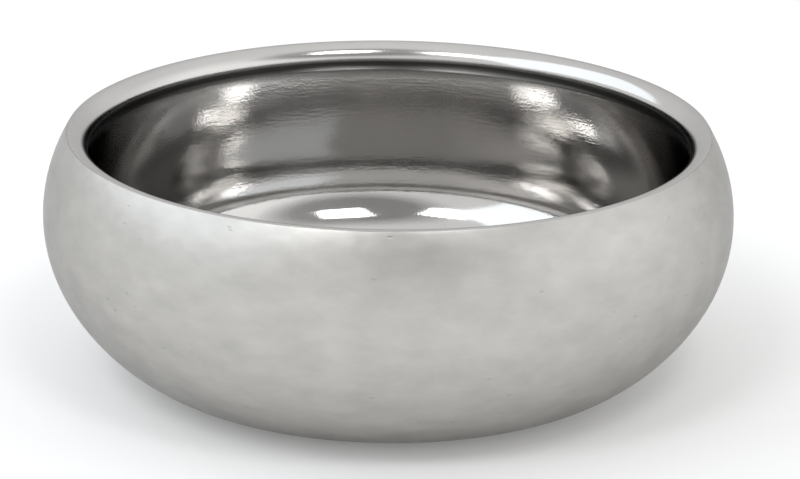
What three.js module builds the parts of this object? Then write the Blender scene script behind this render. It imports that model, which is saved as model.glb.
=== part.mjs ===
// Double-wall steel bowl for a cat. A drawn inner bowl hangs by its rolled lip in a belly-shaped outer
// shell, and a rubber ring in the recess under the shell keeps the bowl from sliding.
// Millimetres, +Z up, origin on the table under the middle of the bowl.
import * as THREE from "three";

// Outer shell
const BELLY_RADIUS = 70; // widest radius
const BELLY_HEIGHT = 31.7; // widest line above the foot
const BELLY_SWEEP = 18.6; // reach of the upright part of the curve below the widest line
const FOOT_INSET = 24.2; // from the widest radius in to the flat of the foot
const FOOT_SWEEP = 6.8; // reach of the level part of the curve beside the foot
const FOOT_LAND = 2.7; // width of the flat of the foot
const BASE_RECESS = 1.5; // depth of the recess inside the foot
const RECESS_RUN = 0.9; // slope of the recess's side, measured along the radius
const FLANGE_WIDTH = 1.5; // top edge turned in under the lip
const SHELL_SHEET = 0.7;

// Inner bowl
const RIM_RISE = 17.6; // top of the lip above the belly's widest line
const MOUTH_INSET = 9.25; // from the belly's widest radius in to the mouth
const LIP_RADIUS = 3.6; // top surface of the rolled lip
const LIP_EDGE_ANGLE = 80; // degrees above level where the lip ends at the seam
const NECK_TURN = 25; // degrees that the lip rolls back under the mouth
const NECK_RADIUS = 2.4; // hollow between the lip and the wall
const WALL_SWEEP_RADIUS = 50; // long curve at the bottom of the wall
const WALL_SWEEP_TURN = 10; // degrees of that curve
const FLOOR_CORNER_RADIUS = 14; // tighter curve from there to the floor
const LINER_SHEET = 0.7;

// Non-slip ring
const RING_WIDTH = 5.5;
const RING_PROUD = 0.9; // how far it stands below the foot
const RING_EDGE = 0.5; // chamfer of its lower corners

// Fits
const AIR_GAP = 2.8; // least height between the inner bowl and the shell below it
const SEAM_GAP = 0.3; // between the lip and the shell's flange
const RING_GAP = 0.3; // between the ring and its recess

// Fineness of the turned shapes
const TURN_STEPS = 48;
const SWEEP_STEPS = 10;
const BEND_STEPS = 4;

const point = (radius, height) => new THREE.Vector2(radius, height);
const radians = THREE.MathUtils.degToRad;

// A point on a circle in section, with its angle in degrees from the outward radius.
const onCircle = (centre, radius, degrees) =>
  point(
    centre.x + radius * Math.cos(radians(degrees)),
    centre.y + radius * Math.sin(radians(degrees)),
  );

function arc(centre, radius, from, to, steps) {
  const points = [];
  for (let i = 0; i <= steps; i++) {
    points.push(onCircle(centre, radius, from + ((to - from) * i) / steps));
  }
  return points;
}

// The same line moved to its left by a distance, with mitred corners: the other side of a bent sheet.
function otherSide(line, distance) {
  const left = line.slice(1).map((end, i) => {
    const along = end.clone().sub(line[i]).normalize();
    return point(-along.y, along.x);
  });
  return line.map((start, i) => {
    const before = left[Math.max(i - 1, 0)];
    const after = left[Math.min(i, left.length - 1)];
    const mitre = before.clone().add(after).divideScalar(1 + before.dot(after));
    return start.clone().addScaledVector(mitre, distance);
  });
}

// Height of a line that runs outward from the axis, at a radius.
function heightAt(line, radius) {
  const i = 1 + line.slice(1).findIndex((end) => end.x > radius);
  const share = (radius - line[i - 1].x) / (line[i].x - line[i - 1].x);
  return THREE.MathUtils.lerp(line[i - 1].y, line[i].y, share);
}

// A solid turned about +Z from its closed section.
function turned(name, section, material) {
  const geometry = new THREE.LatheGeometry(section, TURN_STEPS);
  geometry.rotateX(Math.PI / 2);
  const mesh = new THREE.Mesh(geometry, material);
  mesh.name = name;
  return mesh;
}

// The lip of the inner bowl, with heights from the foot. Its end is bevelled to lie on the shell's flange:
// the underside stops one step short of the top.
const lipCentre = point(
  BELLY_RADIUS - MOUTH_INSET + LIP_RADIUS,
  BELLY_HEIGHT + RIM_RISE - LIP_RADIUS,
);
const lip = arc(lipCentre, LIP_RADIUS, 180 + NECK_TURN, LIP_EDGE_ANGLE, SWEEP_STEPS);
const seam = lip.at(-1);
const bevelFoot = otherSide(lip, -LINER_SHEET).at(-2);

// The shoulder is the arc that leaves the widest line upright and reaches the seam.
const shoulderIn = BELLY_RADIUS - seam.x;
const shoulderUp = seam.y - BELLY_HEIGHT;
const shoulderRadius = (shoulderIn ** 2 + shoulderUp ** 2) / (2 * shoulderIn);
const shoulderCentre = point(BELLY_RADIUS - shoulderRadius, BELLY_HEIGHT);
const shoulderAngle = (height) =>
  THREE.MathUtils.radToDeg(Math.asin((height - BELLY_HEIGHT) / shoulderRadius));

// The shell's two sides below its widest line, from the axis outward
const footRadius = BELLY_RADIUS - FOOT_INSET;
const recessRadius = footRadius - FOOT_LAND - RECESS_RUN;
const shellBelow = [
  point(0, BASE_RECESS),
  point(recessRadius, BASE_RECESS),
  point(recessRadius + RECESS_RUN, 0),
  ...new THREE.CubicBezierCurve(
    point(footRadius, 0),
    point(footRadius + FOOT_SWEEP, 0),
    point(BELLY_RADIUS, BELLY_HEIGHT - BELLY_SWEEP),
    point(BELLY_RADIUS, BELLY_HEIGHT),
  ).getPoints(SWEEP_STEPS),
];
const shellBelowInside = otherSide(shellBelow, SHELL_SHEET);

function outerShell() {
  const [flangeTop, flangeFoot] = otherSide([seam, bevelFoot], SEAM_GAP);
  const flangeLine = flangeFoot.sub(flangeTop).setLength(FLANGE_WIDTH);
  const shoulder = arc(shoulderCentre, shoulderRadius, 0, shoulderAngle(flangeTop.y), SWEEP_STEPS);
  const outside = [...shellBelow, ...shoulder.slice(1), flangeTop.clone().add(flangeLine)];
  const inside = otherSide(outside, SHELL_SHEET);
  const steel = new THREE.MeshStandardMaterial({ color: 0xc3c3bf, roughness: 0.3, metalness: 1 });
  return turned("outer_shell", [...outside, ...inside.reverse()], steel);
}

function innerBowl() {
  const neckReach = LIP_RADIUS + NECK_RADIUS;
  const neckCentre = onCircle(lipCentre, neckReach, 180 + NECK_TURN);
  const wallRadius = neckCentre.x + NECK_RADIUS;

  // Floor, corner and sweep, drawn with the floor at height 0 and then raised clear of the shell
  const cornerStep = WALL_SWEEP_RADIUS - FLOOR_CORNER_RADIUS;
  const sweepCentre = point(
    wallRadius - WALL_SWEEP_RADIUS,
    FLOOR_CORNER_RADIUS + cornerStep * Math.sin(radians(WALL_SWEEP_TURN)),
  );
  const cornerCentre = onCircle(sweepCentre, cornerStep, -WALL_SWEEP_TURN);
  const well = [
    point(0, 0),
    ...arc(cornerCentre, FLOOR_CORNER_RADIUS, -90, -WALL_SWEEP_TURN, SWEEP_STEPS),
    ...arc(sweepCentre, WALL_SWEEP_RADIUS, -WALL_SWEEP_TURN, 0, BEND_STEPS).slice(1),
  ];
  const raises = otherSide(well, -LINER_SHEET).map(
    (under) => heightAt(shellBelowInside, under.x) + AIR_GAP - under.y,
  );
  const floor = point(0, Math.max(...raises));

  const inside = [
    ...well.map((low) => low.add(floor)),
    ...arc(neckCentre, NECK_RADIUS, 0, NECK_TURN, BEND_STEPS),
    ...lip.slice(1),
  ];
  const outside = otherSide(inside, -LINER_SHEET).slice(0, -1);
  const steel = new THREE.MeshStandardMaterial({ color: 0xb4b4b0, roughness: 0.2, metalness: 1 });
  return turned("inner_bowl", [...outside, ...inside.reverse()], steel);
}

function nonSlipRing() {
  const outer = recessRadius - RING_GAP;
  const inner = outer - RING_WIDTH;
  const top = BASE_RECESS - RING_GAP;
  const section = [
    point(inner, top),
    point(inner, RING_EDGE - RING_PROUD),
    point(inner + RING_EDGE, -RING_PROUD),
    point(outer - RING_EDGE, -RING_PROUD),
    point(outer, RING_EDGE - RING_PROUD),
    point(outer, top),
    point(inner, top),
  ];
  const rubber = new THREE.MeshStandardMaterial({ color: 0x1c1c1d, roughness: 0.85, metalness: 0 });
  return turned("non_slip_ring", section, rubber);
}

const catBowl = new THREE.Group();
catBowl.add(outerShell(), innerBowl(), nonSlipRing());
for (const piece of catBowl.children) {
  piece.position.z = RING_PROUD;
}

export default catBowl;
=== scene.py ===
from math import acos, asin, atan2, cos, degrees, pi, radians, sin, tan

import bpy
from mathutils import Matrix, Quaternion, Vector, noise


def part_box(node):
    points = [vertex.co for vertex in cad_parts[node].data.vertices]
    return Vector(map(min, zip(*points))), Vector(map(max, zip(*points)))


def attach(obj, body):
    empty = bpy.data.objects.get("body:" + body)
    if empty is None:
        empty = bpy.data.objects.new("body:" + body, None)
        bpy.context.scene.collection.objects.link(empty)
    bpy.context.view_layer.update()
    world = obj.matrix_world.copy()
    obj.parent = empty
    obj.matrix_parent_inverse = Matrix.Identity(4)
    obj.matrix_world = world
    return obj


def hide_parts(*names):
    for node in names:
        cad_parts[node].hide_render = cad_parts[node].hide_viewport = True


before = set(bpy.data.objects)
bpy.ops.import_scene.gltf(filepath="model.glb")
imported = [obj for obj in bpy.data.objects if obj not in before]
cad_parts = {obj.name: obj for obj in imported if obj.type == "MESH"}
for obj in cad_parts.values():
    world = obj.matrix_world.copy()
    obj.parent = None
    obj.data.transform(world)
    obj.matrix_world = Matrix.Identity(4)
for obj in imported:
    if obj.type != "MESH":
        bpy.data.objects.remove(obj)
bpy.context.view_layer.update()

# Camera: a long lens about 0.7 m from the bowl, looking down on it from 19 degrees above the table.
# The bowl's middle lies a little left of and below the picture's, and the picture leans by under a degree.
picture_width, picture_height = 800, 479  # pixels
bowl_middle_across, bowl_middle_down = 388.2, 243.6  # pixels
belly_radius_pixels = 342.7
bowl_middle = Vector((0, 0, 0.0254))
camera_rise = radians(19.1)
camera_distance = 0.7006
camera_lean = radians(0.687)

belly_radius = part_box("outer_shell")[1].x
pixel = belly_radius / belly_radius_pixels  # metres, at the bowl's middle
towards_camera = Vector((0, -cos(camera_rise), sin(camera_rise)))
level_view = (-towards_camera).to_track_quat("-Z", "Y")
picture_right = level_view @ Vector((1, 0, 0))
picture_up = level_view @ Vector((0, 1, 0))
camera_place = bowl_middle + towards_camera * camera_distance
aim = (
    bowl_middle
    + picture_right * (picture_width / 2 - bowl_middle_across) * pixel
    - picture_up * (picture_height / 2 - bowl_middle_down) * pixel
)
camera_data = bpy.data.cameras.new("camera")
camera_data.sensor_width = 36  # millimetres
camera_data.lens = camera_data.sensor_width / picture_width * camera_distance / pixel
camera = bpy.data.objects.new("camera", camera_data)
camera.location = camera_place
camera.rotation_mode = "QUATERNION"
level_aim = (aim - camera_place).to_track_quat("-Z", "Y")
camera.rotation_quaternion = level_aim @ Quaternion((0, 0, 1), camera_lean)
bpy.context.scene.collection.objects.link(camera)
bpy.context.scene.camera = camera

# Outer shell: one drawn sheet of stainless steel with a round belly, its top edge turned in at the seam.
# Its bottom is pressed up into a recess for the rubber ring. The outside is polished to a soft satin,
# with fine lines round the bowl, faint clouds and a few pits and nicks from use.
foot_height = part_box("outer_shell")[0].z  # the steel foot stands this far above the table
rim_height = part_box("inner_bowl")[1].z
belly_rise = 0.0317  # widest line above the foot
belly_sweep = 0.0186  # reach of the upright part of the curve below the widest line
foot_inset = 0.0242  # from the widest radius in to the flat of the foot
foot_sweep = 0.0068  # reach of the level part of the curve beside the foot
foot_land = 0.0027  # width of the flat of the foot
recess_depth = 0.0015
recess_run = 0.0009  # slope of the recess's side, measured along the radius
pressed_corner = 0.0006  # round of the recess's corners
flange_width = 0.0015  # top edge turned in under the lip
sheet = 0.0007
mouth_inset = 0.00925  # from the widest radius in to the mouth
lip_radius = 0.0036
lip_edge_angle = 80  # degrees above level, where the lip ends at the seam
lip_bevel = 12.5  # degrees short of that edge, where the lip's underside ends
seam_gap = 0.00001
edge_round = 0.00005  # round of the two edges at the seam
seam_fade = 0.002  # the waves in the sheets fade out over this distance from the seam
shell_wave_depth = 0.00003
shell_wave_length = 0.03
satin_dark = (0.46, 0.45, 0.432, 1)
satin_light = (0.53, 0.519, 0.498, 1)
satin_gleam = (0.6, 0.6, 0.6, 1)  # tint at a glancing angle
nick_colour = (0.38, 0.372, 0.355, 1)
nick_squeeze = (1, 1, 2.5)  # nicks are wider than they are tall

belly_height = foot_height + belly_rise
foot_radius = belly_radius - foot_inset
mouth_radius = belly_radius - mouth_inset


def on_circle(centre, radius, angle):
    """A point on a circle in section, with its angle in degrees from the outward radius."""
    return Vector((centre.x + radius * cos(radians(angle)), centre.y + radius * sin(radians(angle))))


def arc(centre, radius, start, end, step):
    """Points along a circle, both ends included, about a step apart. The angles are in degrees."""
    count = max(2, round(abs(end - start) / step))
    return [on_circle(centre, radius, start + (end - start) * i / count) for i in range(count + 1)]


def along(start, end, step=0.0012):
    """Points along a straight line, both ends included, about a step apart."""
    count = max(1, round((end - start).length / step))
    return [start.lerp(end, i / count) for i in range(count + 1)]


def sweep(start, start_pull, end_pull, end, count=48):
    """Points along a curve that leaves and reaches its ends towards the two pulls."""
    points = []
    for i in range(count + 1):
        done = i / count
        left = 1 - done
        points.append(
            left**3 * start
            + 3 * left * left * done * start_pull
            + 3 * left * done * done * end_pull
            + done**3 * end
        )
    return points


def bend(before, corner, after, radius, step=12):
    """Points along the round that replaces a corner."""
    into, out = (corner - before).normalized(), (after - corner).normalized()
    half = acos(into.dot(out)) / 2
    centre = corner + (out - into).normalized() * radius / cos(half)
    side = 1 if into.cross(out) > 0 else -1
    first = degrees(atan2(-into.x * side, into.y * side))
    return arc(centre, radius, first, first + side * degrees(2 * half), step)


def other_side(line, distance):
    """The same line moved to its left: the other side of a bent sheet."""
    lefts = []
    for start, end in zip(line, line[1:]):
        lefts.append(Vector((start.y - end.y, end.x - start.x)).normalized())
    moved = []
    for point, before, after in zip(line, lefts[:1] + lefts, lefts + lefts[-1:]):
        moved.append(point + (before + after) / (1 + before.dot(after)) * distance)
    return moved


def turned(name, section, steps=288):
    """A solid turned about the bowl's axis. Its section is closed, or starts and ends on the axis."""
    on_axis = 1e-9  # a point nearer the axis than this, in metres, lies on it
    corners, faces, rings = [], [], []
    for point in section:
        count = steps if point.x > on_axis else 1
        rings.append(range(len(corners), len(corners) + count))
        for i in range(count):
            turn = 2 * pi * i / steps
            corners.append((point.x * cos(turn), point.x * sin(turn), point.y))
    for low, high in zip(rings, rings[1:]):
        for here in range(steps):
            there = here + 1
            face = [
                low[here % len(low)],
                low[there % len(low)],
                high[there % len(high)],
                high[here % len(high)],
            ]
            faces.append(list(dict.fromkeys(face)))  # beside the axis a face has three corners
    mesh = bpy.data.meshes.new(name)
    mesh.from_pydata(corners, [], faces)
    mesh.shade_smooth()
    piece = bpy.data.objects.new(name, mesh)
    bpy.context.scene.collection.objects.link(piece)
    return piece


def settle_metal(piece, depth, length, seam):
    """Presses shallow waves into the sheet, because drawn and polished steel is never quite true.

    They fade out towards the seam, where the two sheets are ground flush.
    """
    ripple_share, ripple_fineness = 0.4, 2.3  # ripples on the waves
    middle, swing = 0.5, 0.4  # shares of the depth
    mesh = piece.data
    normals = [corner.normal.copy() for corner in mesh.vertices]
    for corner, normal in zip(mesh.vertices, normals):
        spot = corner.co / length
        wave = noise.noise(spot) + ripple_share * noise.noise(spot * ripple_fineness)
        from_seam = (Vector((corner.co.xy.length, corner.co.z)) - seam).length
        corner.co -= normal * depth * (middle + swing * wave) * min(1, from_seam / seam_fade)
    mesh.update()


def feed(tree, node, inputs):
    """Sets a shader node's inputs. Each is a value or another node's output."""
    for name, value in inputs.items():
        if isinstance(value, bpy.types.NodeSocket):
            tree.links.new(value, node.inputs[name])
        else:
            node.inputs[name].default_value = value


def add(tree, kind, inputs=None, **settings):
    """A shader node with its settings and inputs."""
    node = tree.nodes.new("ShaderNode" + kind)
    for name, value in settings.items():
        setattr(node, name, value)
    feed(tree, node, inputs or {})
    return node


def new_finish(name):
    """A new material, its node tree and its shader."""
    material = bpy.data.materials.new(name)
    material.use_nodes = True
    return material, material.node_tree, material.node_tree.nodes["Principled BSDF"]


def combined(tree, operation, first, second, **settings):
    """One number from two."""
    return add(tree, "Math", {0: first, 1: second}, operation=operation, **settings).outputs[0]


def between(tree, value, low, high, from_low=0.3, from_high=0.7):
    """A value as a number from low to high. Most of a cloud pattern lies from 0.3 to 0.7."""
    ends = {"From Min": from_low, "From Max": from_high, "To Min": low, "To Max": high}
    return add(tree, "MapRange", {"Value": value, **ends}).outputs[0]


def mixed(tree, share, first, second):
    """A colour from the first to the second, by a share."""
    mix = add(tree, "Mix", {"Factor": share, "A": first, "B": second}, data_type="RGBA")
    return mix.outputs["Result"]


def soft_clouds(tree, place, scale, detail=2, roughness=0.5):
    """A pattern of soft clouds, about this many to a metre."""
    look = {"Scale": scale, "Detail": detail, "Roughness": roughness}
    return add(tree, "TexNoise", {"Vector": place, **look}).outputs["Fac"]


def polish_lines(tree, place, round_scale, across_scale):
    """Marks that run round the bowl, as a wheel leaves them on turning metal.

    The scales are marks to a radian, round the bowl at its widest line and up its section.
    """
    split = add(tree, "SeparateXYZ", {"Vector": place})
    flat = add(tree, "CombineXYZ", {"X": split.outputs["X"], "Y": split.outputs["Y"]}).outputs[0]
    radius = add(tree, "VectorMath", {0: flat}, operation="LENGTH").outputs["Value"]
    turn = add(tree, "VectorMath", {0: flat, "Scale": round_scale / belly_radius}, operation="SCALE")
    rise = combined(tree, "SUBTRACT", split.outputs["Z"], belly_height)
    reach = combined(tree, "SUBTRACT", radius, foot_radius)
    climb = combined(tree, "ARCTAN2", rise, reach)
    lift = add(tree, "CombineXYZ", {"Z": combined(tree, "MULTIPLY", climb, across_scale)})
    where = add(tree, "VectorMath", {0: turn.outputs[0], 1: lift.outputs[0]}, operation="ADD")
    return soft_clouds(tree, where.outputs[0], scale=1, detail=3, roughness=0.6)


def relief(tree, height, depth, under=None, **settings):
    """A surface that rises and falls by a depth in metres, on top of another relief if there is one."""
    inputs = {"Strength": 1, "Distance": depth, "Height": height}
    if under is not None:
        inputs["Normal"] = under
    return add(tree, "Bump", inputs, **settings).outputs[0]


def satin_steel():
    """Stainless steel polished to a soft satin, with clouds, polish lines and small nicks."""
    material, tree, shader = new_finish("satin_steel")
    place = add(tree, "TexCoord").outputs["Object"]
    clouds = soft_clouds(tree, place, scale=42, detail=3, roughness=0.55)
    patches = soft_clouds(tree, place, scale=130)
    smears = polish_lines(tree, place, round_scale=9, across_scale=6)
    lines = polish_lines(tree, place, round_scale=9, across_scale=110)
    squeezed = add(tree, "VectorMath", {0: place, 1: nick_squeeze}, operation="MULTIPLY").outputs[0]
    cells = add(tree, "TexVoronoi", {"Vector": squeezed, "Scale": 190}, feature="F1")
    spots = between(tree, cells.outputs["Distance"], low=1, high=0, from_low=0.04, from_high=0.14)
    thinning = soft_clouds(tree, place, scale=90)
    some = between(tree, thinning, low=0, high=1, from_low=0.52, from_high=0.58)
    nicks = combined(tree, "MULTIPLY", spots, some)

    tone = mixed(tree, between(tree, smears, low=0, high=1), satin_dark, satin_light)
    cloud_roughness = between(tree, clouds, low=0.36, high=0.43)
    patch_roughness = between(tree, patches, low=-0.03, high=0.03)
    mottled = relief(tree, patches, depth=0.00015)
    lined = relief(tree, lines, depth=0.000002, under=mottled)
    look = {
        "Base Color": mixed(tree, nicks, tone, nick_colour),
        "Metallic": 1,
        "Specular Tint": satin_gleam,
        "Roughness": combined(tree, "ADD", cloud_roughness, patch_roughness),
        "Normal": relief(tree, nicks, depth=0.00002, under=lined, invert=True),
    }
    feed(tree, shader, look)
    return material


lip_centre = Vector((mouth_radius + lip_radius, rim_height - lip_radius))
seam = on_circle(lip_centre, lip_radius, lip_edge_angle)
bevel_foot = on_circle(lip_centre, lip_radius - sheet, lip_edge_angle + lip_bevel)

# The shoulder is the arc that leaves the widest line upright and reaches the seam.
shoulder_in = belly_radius - seam.x
shoulder_up = seam.y - belly_height
shoulder_radius = (shoulder_in**2 + shoulder_up**2) / (2 * shoulder_in)
shoulder_centre = Vector((belly_radius - shoulder_radius, belly_height))


def shoulder_angle(height):
    """The angle on the shoulder's arc, in degrees, at a height."""
    return degrees(asin((height - belly_height) / shoulder_radius))


shell_edge = on_circle(shoulder_centre, shoulder_radius, shoulder_angle(seam.y - seam_gap))
below_edge_angle = shoulder_angle(shell_edge.y - 2 * edge_round)
below_edge = on_circle(shoulder_centre, shoulder_radius, below_edge_angle)
flange_end = shell_edge + (bevel_foot - seam).normalized() * flange_width
past_edge = shell_edge.lerp(flange_end, 0.3)
recess_radius = foot_radius - foot_land - recess_run
recess_top = Vector((0, foot_height + recess_depth))
recess_corner = Vector((recess_radius, recess_top.y))
foot_inside = Vector((recess_radius + recess_run, foot_height))
foot_outside = Vector((foot_radius, foot_height))
shell_outside = [
    *along(recess_top, recess_corner)[:-1],
    *bend(recess_top, recess_corner, foot_inside, pressed_corner),
    *bend(recess_corner, foot_inside, foot_outside, pressed_corner),
    *sweep(
        foot_outside,
        foot_outside + Vector((foot_sweep, 0)),
        Vector((belly_radius, belly_height - belly_sweep)),
        Vector((belly_radius, belly_height)),
    ),
    *arc(shoulder_centre, shoulder_radius, 0, below_edge_angle, step=1)[1:],
    *bend(below_edge, shell_edge, flange_end, edge_round)[1:],
    *along(past_edge, flange_end),
]
shell_inside = other_side(shell_outside, sheet)
outer_shell = turned("satin_outer_shell", shell_outside + shell_inside[::-1])
settle_metal(outer_shell, shell_wave_depth, shell_wave_length, seam)
outer_shell.data.materials.append(satin_steel())
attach(outer_shell, "root")
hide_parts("outer_shell")

# Inner bowl: drawn from one sheet of stainless steel, with an upright wall that sweeps into a flat floor.
# Its rim is rolled outward onto the shell's edge and ground flush there. The inside is polished bright,
# and rubbed by cutlery and washing up into fine marks. The hollow under the lip is painted nearly black as
# shade, and is rougher.
neck_turn = 25  # degrees that the lip rolls back under the mouth
neck_radius = 0.0024  # hollow between the lip and the wall
wall_sweep_radius = 0.050  # long curve at the bottom of the wall
wall_sweep_turn = 10  # degrees of that curve
floor_corner_radius = 0.014  # tighter curve from there to the floor
floor_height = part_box("inner_bowl")[0].z + sheet
liner_wave_depth = 0.00005
liner_wave_length = 0.02
bright_dark = (0.535, 0.526, 0.514, 1)
bright_light = (0.585, 0.575, 0.562, 1)
# painted shade: the colour of the hollow under the lip, nearly black
painted_hollow_shade = (0.06, 0.059, 0.057, 1)
floor_gleam = (0.65, 0.65, 0.65, 1)  # tints at a glancing angle
wall_gleam = (0.1, 0.1, 0.1, 1)
lip_gleam = (0.6, 0.6, 0.6, 1)

neck_centre = on_circle(lip_centre, lip_radius + neck_radius, 180 + neck_turn)
wall_radius = neck_centre.x + neck_radius

# The finish changes from the floor to the wall, the hollow (painted dark as shade) and the lip between
# these heights.
wall_starts = (floor_height + 0.002, floor_height + 0.008)
hollow_starts = (neck_centre.y - 0.0012, lip_centre.y - 0.001)
lip_starts = (lip_centre.y - 0.0001, lip_centre.y + 0.0009)


def bright_steel():
    """Stainless steel polished bright, with rubbing marks round it. The hollow under the lip is painted
    nearly black as shade, and is rougher.
    """
    material, tree, shader = new_finish("bright_steel")
    place = add(tree, "TexCoord").outputs["Object"]
    clouds = soft_clouds(tree, place, scale=38, detail=4, roughness=0.6)
    marks = polish_lines(tree, place, round_scale=14, across_scale=30)
    hazes = soft_clouds(tree, place, scale=1800, detail=3)
    height = add(tree, "SeparateXYZ", {"Vector": place}).outputs["Z"]
    above_floor = between(tree, height, 0, 1, *wall_starts)
    above_wall = between(tree, height, 0, 1, *hollow_starts)
    under_lip = between(tree, height, 1, 0, *lip_starts)
    # mask of the hollow under the lip: painted shade in the colour, and more roughness
    shaded_and_dull = combined(tree, "MULTIPLY", under_lip, above_wall)

    tone = mixed(tree, between(tree, clouds, low=0, high=1), bright_dark, bright_light)
    well_gleam = mixed(tree, above_floor, floor_gleam, wall_gleam)
    cloud_roughness = between(tree, clouds, low=0.06, high=0.12)
    dull_roughness = between(tree, shaded_and_dull, low=0, high=0.3, from_low=0, from_high=1)
    lip_roughness = between(tree, under_lip, low=0.06, high=0, from_low=0, from_high=1)
    well_roughness = combined(tree, "ADD", cloud_roughness, dull_roughness)
    marked = relief(tree, marks, depth=0.000008)
    look = {
        # Painted shade: the base colour goes nearly black in the hollow under the lip.
        "Base Color": mixed(tree, shaded_and_dull, tone, painted_hollow_shade),
        "Metallic": 1,
        "Specular Tint": mixed(tree, under_lip, lip_gleam, well_gleam),
        "Roughness": combined(tree, "ADD", well_roughness, lip_roughness),
        "Normal": relief(tree, hazes, depth=0.000008, under=marked),
    }
    feed(tree, shader, look)
    return material


corner_step = wall_sweep_radius - floor_corner_radius
sweep_centre = Vector((wall_radius - wall_sweep_radius, floor_height + floor_corner_radius))
sweep_centre.y += corner_step * sin(radians(wall_sweep_turn))
corner_centre = on_circle(sweep_centre, corner_step, -wall_sweep_turn)
liner_inside = [
    *along(Vector((0, floor_height)), Vector((corner_centre.x, floor_height))),
    *arc(corner_centre, floor_corner_radius, -90, -wall_sweep_turn, step=2)[1:],
    *arc(sweep_centre, wall_sweep_radius, -wall_sweep_turn, 0, step=0.5)[1:],
    *along(Vector((wall_radius, sweep_centre.y)), Vector((wall_radius, neck_centre.y)))[1:],
    *arc(neck_centre, neck_radius, 0, neck_turn, step=3)[1:],
    *arc(lip_centre, lip_radius, 180 + neck_turn, lip_edge_angle + lip_bevel, step=3)[1:],
]
liner_outside = other_side(liner_inside, -sheet)

# The lip's top runs on past its underside, and its own curve stops three rounds short of the seam.
edge_turn = degrees(edge_round / lip_radius)
before_seam = on_circle(lip_centre, lip_radius, lip_edge_angle + edge_turn)
lip_end = [
    *arc(lip_centre, lip_radius, lip_edge_angle + lip_bevel, lip_edge_angle + 3 * edge_turn, step=2)[1:],
    *bend(before_seam, seam, bevel_foot, edge_round)[1:],
]
inner_bowl = turned("polished_inner_bowl", liner_outside + (liner_inside + lip_end)[::-1])
settle_metal(inner_bowl, liner_wave_depth, liner_wave_length, seam)
inner_bowl.data.materials.append(bright_steel())
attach(inner_bowl, "root")
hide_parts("inner_bowl")

# Non-slip ring: a moulded rubber ring, glued into the recess under the shell, that the bowl stands on.
# Its corners are rounded and its underside has three shallow grip grooves.
ring_low, ring_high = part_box("non_slip_ring")
ring_width = 0.0055
ring_round = 0.0005
ring_round_step = 15  # degrees
groove_width = 0.0007
groove_depth = 0.0003
groove_count = 3
rubber_dark = (0.018, 0.018, 0.019, 1)
rubber_light = (0.034, 0.034, 0.035, 1)


def moulded_rubber():
    """Matt black rubber with a faint bloom and the fine grain of its mould."""
    material, tree, shader = new_finish("moulded_rubber")
    place = add(tree, "TexCoord").outputs["Object"]
    bloom = soft_clouds(tree, place, scale=70, detail=4)
    grain = soft_clouds(tree, place, scale=3000, detail=1)
    look = {
        "Base Color": mixed(tree, between(tree, bloom, low=0, high=1), rubber_dark, rubber_light),
        "Roughness": between(tree, bloom, low=0.7, high=0.88),
        "Normal": relief(tree, grain, depth=0.00003),
    }
    feed(tree, shader, look)
    return material


ring_outer = ring_high.x
ring_inner = ring_outer - ring_width
groove_pitch = ring_width / (groove_count + 1)
underside = []
for i in range(groove_count):
    middle = ring_inner + groove_pitch * (i + 1)
    underside += [
        Vector((middle - groove_width / 2, ring_low.z)),
        Vector((middle - groove_width / 4, ring_low.z + groove_depth)),
        Vector((middle + groove_width / 4, ring_low.z + groove_depth)),
        Vector((middle + groove_width / 2, ring_low.z)),
    ]
inner_round, outer_round = ring_inner + ring_round, ring_outer - ring_round
low_round, high_round = ring_low.z + ring_round, ring_high.z - ring_round
ring_section = [
    *arc(Vector((inner_round, low_round)), ring_round, 180, 270, ring_round_step),
    *underside,
    *arc(Vector((outer_round, low_round)), ring_round, 270, 360, ring_round_step),
    *arc(Vector((outer_round, high_round)), ring_round, 0, 90, ring_round_step),
    *arc(Vector((inner_round, high_round)), ring_round, 90, 180, ring_round_step),
]
non_slip_ring = turned("rubber_non_slip_ring", ring_section + ring_section[:1])
non_slip_ring.data.materials.append(moulded_rubber())
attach(non_slip_ring, "root")
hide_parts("non_slip_ring")

# Studio: a wide white table in a pale room. Two softboxes stand in front of the bowl, and a long bright
# panel on its left. The room is darker behind the camera and lighter on the right. The table shows white
# and keeps the bowl's soft shadow.
table_reach = 3
table_drop = 0.00005  # below the ring's underside, so that the two don't lie in one plane
table_colour = (0.72, 0.72, 0.72, 1)
table_glow = 0.14  # brings the lit table up to white where it is seen or mirrored
white = (1, 1, 1, 1)
lamplight = (1, 1, 1)
daylight = (0.82, 0.92, 1)
room_shades = ((0.03, 1), (0.2, 0.98), (0.85, 0.98), (0.98, 1))  # how far up, and how bright
mirror_bounces = 24  # the bright inside mirrors itself many times over


def white_table():
    """Matt white, with a little glow for the camera and for the steel that mirrors it."""
    material, tree, shader = new_finish("white_table")
    ray = add(tree, "LightPath").outputs
    seen = combined(tree, "ADD", ray["Is Camera Ray"], ray["Is Glossy Ray"])
    shown = combined(tree, "ADD", seen, ray["Is Transmission Ray"], use_clamp=True)
    look = {
        "Base Color": table_colour,
        "Roughness": 0.9,
        "Specular IOR Level": 0,
        "Emission Color": white,
        "Emission Strength": combined(tree, "MULTIPLY", shown, table_glow),
    }
    feed(tree, shader, look)
    return material


def way_to(azimuth, elevation):
    """A way to look from the bowl, in degrees. Azimuth 0 is the camera's side, and 90 its right."""
    turn, rise = radians(azimuth), radians(elevation)
    return Vector((sin(turn) * cos(rise), -cos(turn) * cos(rise), sin(rise)))


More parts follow.
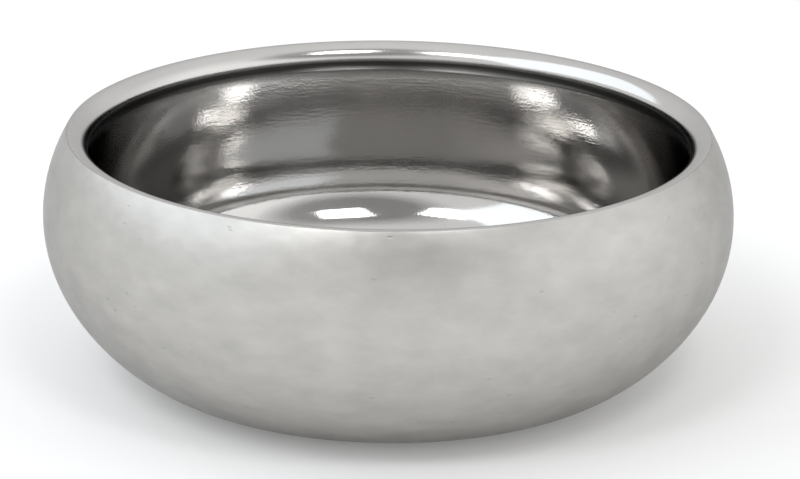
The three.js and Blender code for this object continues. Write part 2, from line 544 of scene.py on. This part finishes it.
def softbox(name, way, distance, wide, tall, brightness, colour=lamplight):
    """A rectangular lamp aimed at the bowl, wide and tall in degrees as the bowl sees it."""
    lamp = bpy.data.lights.new(name, "AREA")
    lamp.shape = "RECTANGLE"
    lamp.size, lamp.size_y = (2 * distance * tan(radians(angle / 2)) for angle in (wide, tall))
    lamp.energy = brightness * pi * lamp.size * lamp.size_y
    lamp.color = colour
    stand = bpy.data.objects.new(name, lamp)
    stand.location = bowl_middle + way * distance
    stand.rotation_mode = "QUATERNION"
    stand.rotation_quaternion = (-way).to_track_quat("-Z", "Y")
    bpy.context.scene.collection.objects.link(stand)


def room_end(tree, looking, way, stretch, level, near, far):
    """Brightness of an end of the room: a level near one way from the bowl, fading to the room's own."""
    off = add(tree, "VectorMath", {0: looking, 1: way}, operation="SUBTRACT").outputs[0]
    stretched = add(tree, "VectorMath", {0: off, 1: stretch}, operation="MULTIPLY").outputs[0]
    away = add(tree, "VectorMath", {0: stretched}, operation="LENGTH").outputs["Value"]
    return between(tree, away, level, 1, near, far)


def light_room(tree):
    """Shades the room by how far up it is seen, and darkens one end and lightens the other."""
    looking = add(tree, "TexCoord").outputs["Generated"]
    shade = add(tree, "ValToRGB", {"Fac": add(tree, "SeparateXYZ", {"Vector": looking}).outputs["Z"]})
    stops = shade.color_ramp.elements
    while len(stops) < len(room_shades):
        stops.new(1)
    for stop, (height, tone) in zip(stops, room_shades):
        stop.position = height
        stop.color = (tone, tone, tone, 1)
    dark_end = room_end(
        tree, looking, way_to(17, 46), stretch=(1.6, 1.6, 1.9), level=0.38, near=0.6, far=1
    )
    light_end = room_end(
        tree, looking, way_to(72, 14), stretch=(1, 1, 1.2), level=1.4, near=0.3, far=0.95
    )
    level = combined(tree, "MULTIPLY", dark_end, light_end)
    feed(tree, tree.nodes["Background"], {"Color": shade.outputs["Color"], "Strength": level})


table_mesh = bpy.data.meshes.new("white_table")
table_corners = [
    (across * table_reach, away * table_reach, -table_drop)
    for across, away in ((-1, -1), (1, -1), (1, 1), (-1, 1))
]
table_mesh.from_pydata(table_corners, [], [(0, 1, 2, 3)])
table = bpy.data.objects.new("white_table", table_mesh)
table_mesh.materials.append(white_table())
bpy.context.scene.collection.objects.link(table)

softbox("left_softbox", way_to(-31, 50), distance=1.4, wide=14, tall=14, brightness=8)
softbox("right_softbox", way_to(25, 55), distance=1.4, wide=15, tall=15, brightness=8)
softbox("left_panel", way_to(-88, 38), distance=2, wide=76, tall=46, brightness=0.95, colour=daylight)

room = bpy.data.worlds.new("pale_room")
room.use_nodes = True
light_room(room.node_tree)
bpy.context.scene.world = room

bpy.context.scene.cycles.max_bounces = mirror_bounces
bpy.context.scene.cycles.glossy_bounces = mirror_bounces
bpy.context.scene.view_settings.view_transform = "Standard"
